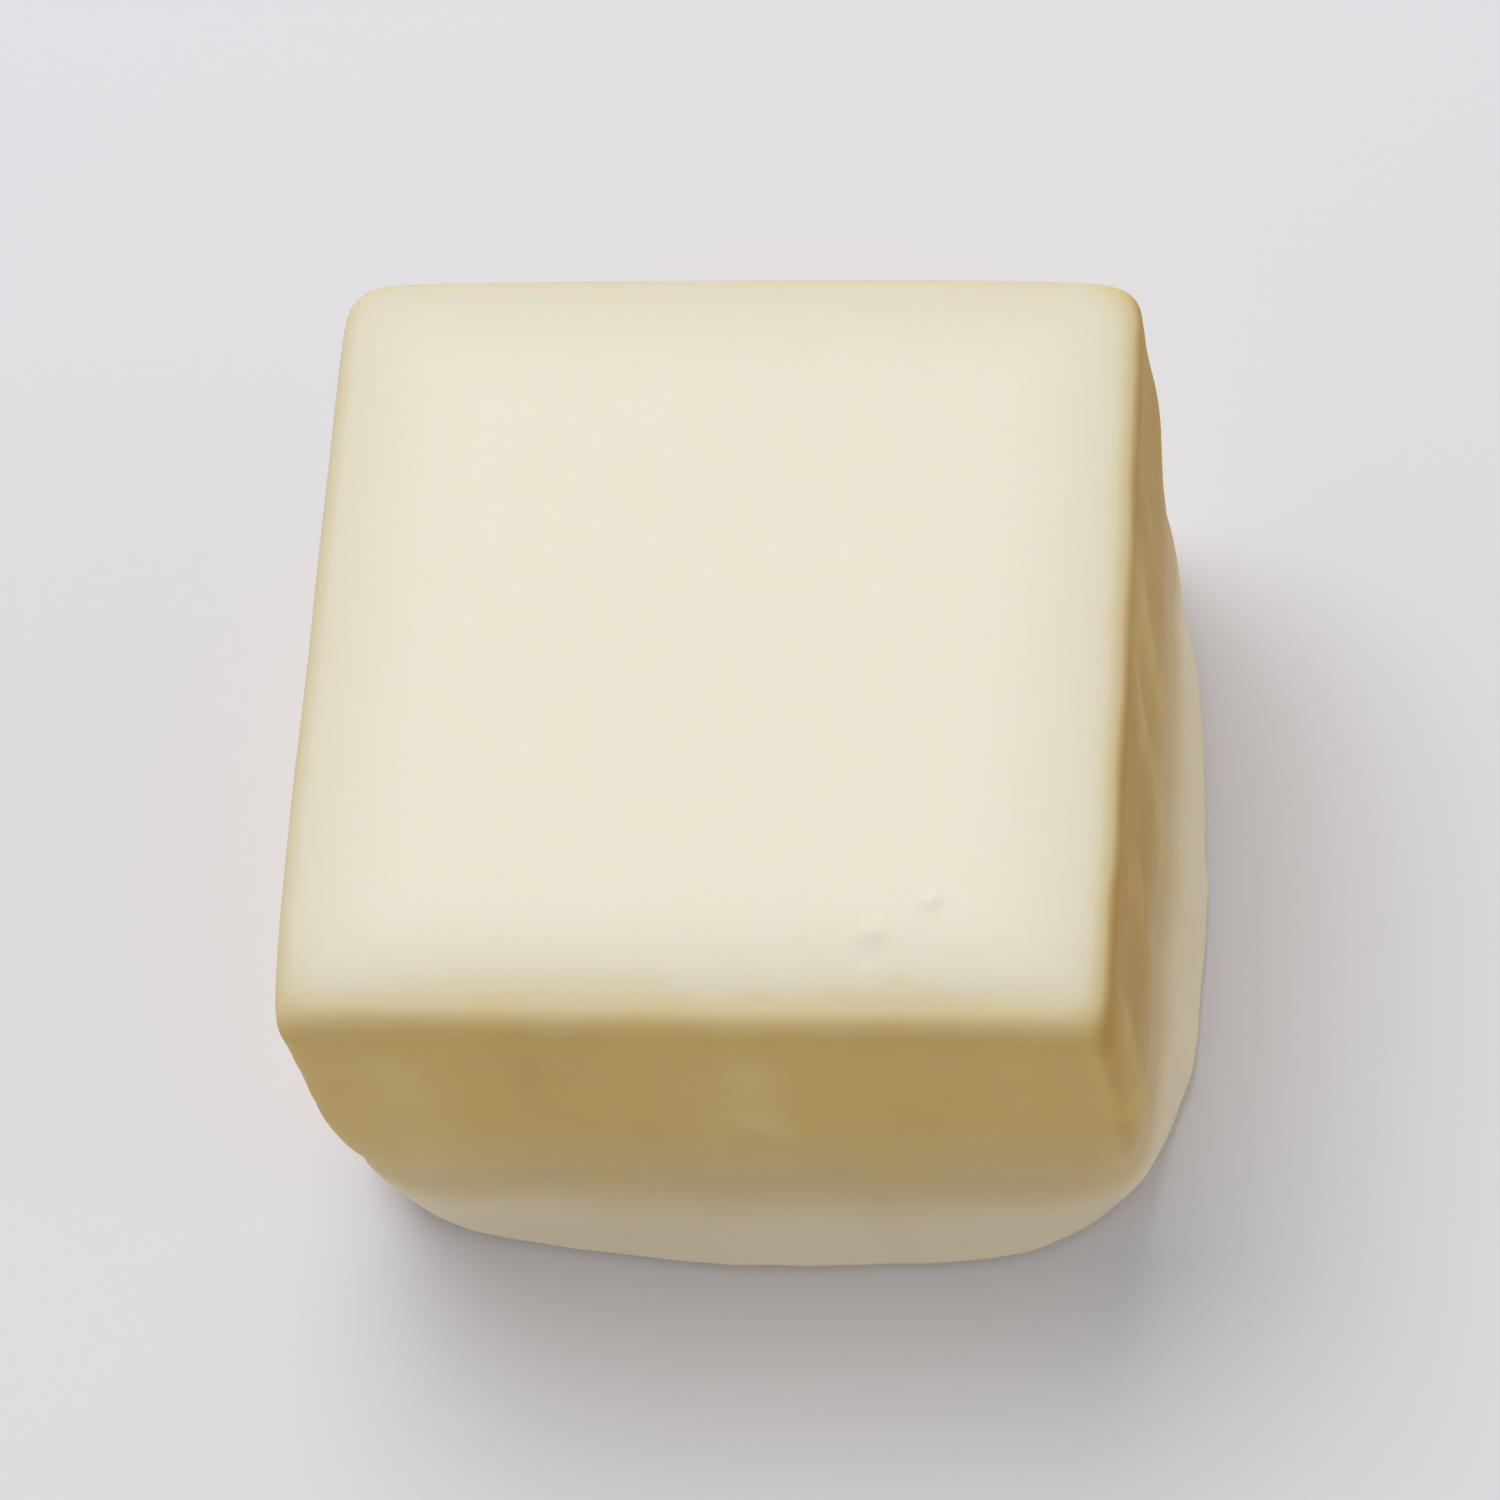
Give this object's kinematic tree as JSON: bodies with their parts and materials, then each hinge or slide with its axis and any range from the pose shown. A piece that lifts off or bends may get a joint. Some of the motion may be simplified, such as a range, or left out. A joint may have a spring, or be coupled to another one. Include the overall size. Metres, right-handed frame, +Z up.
{
  "type": "square iced petit four",
  "caption": "Small square cake fully covered in smooth poured ivory icing, with softly rounded edges, a flat top and a spread foot.",
  "frame": {"origin": "middle of the flat underside, at the centre of the foot's outline", "axes": "+Z up out of the flat top, +X to the right of the front side, -Y out of the front side"},
  "size_m": [0.0462, 0.0462, 0.0286],
  "materials": {
    "icing": "satin"
  },
  "bodies": {
    "root": {"iced_cake": "icing"}
  },
  "joints": []
}
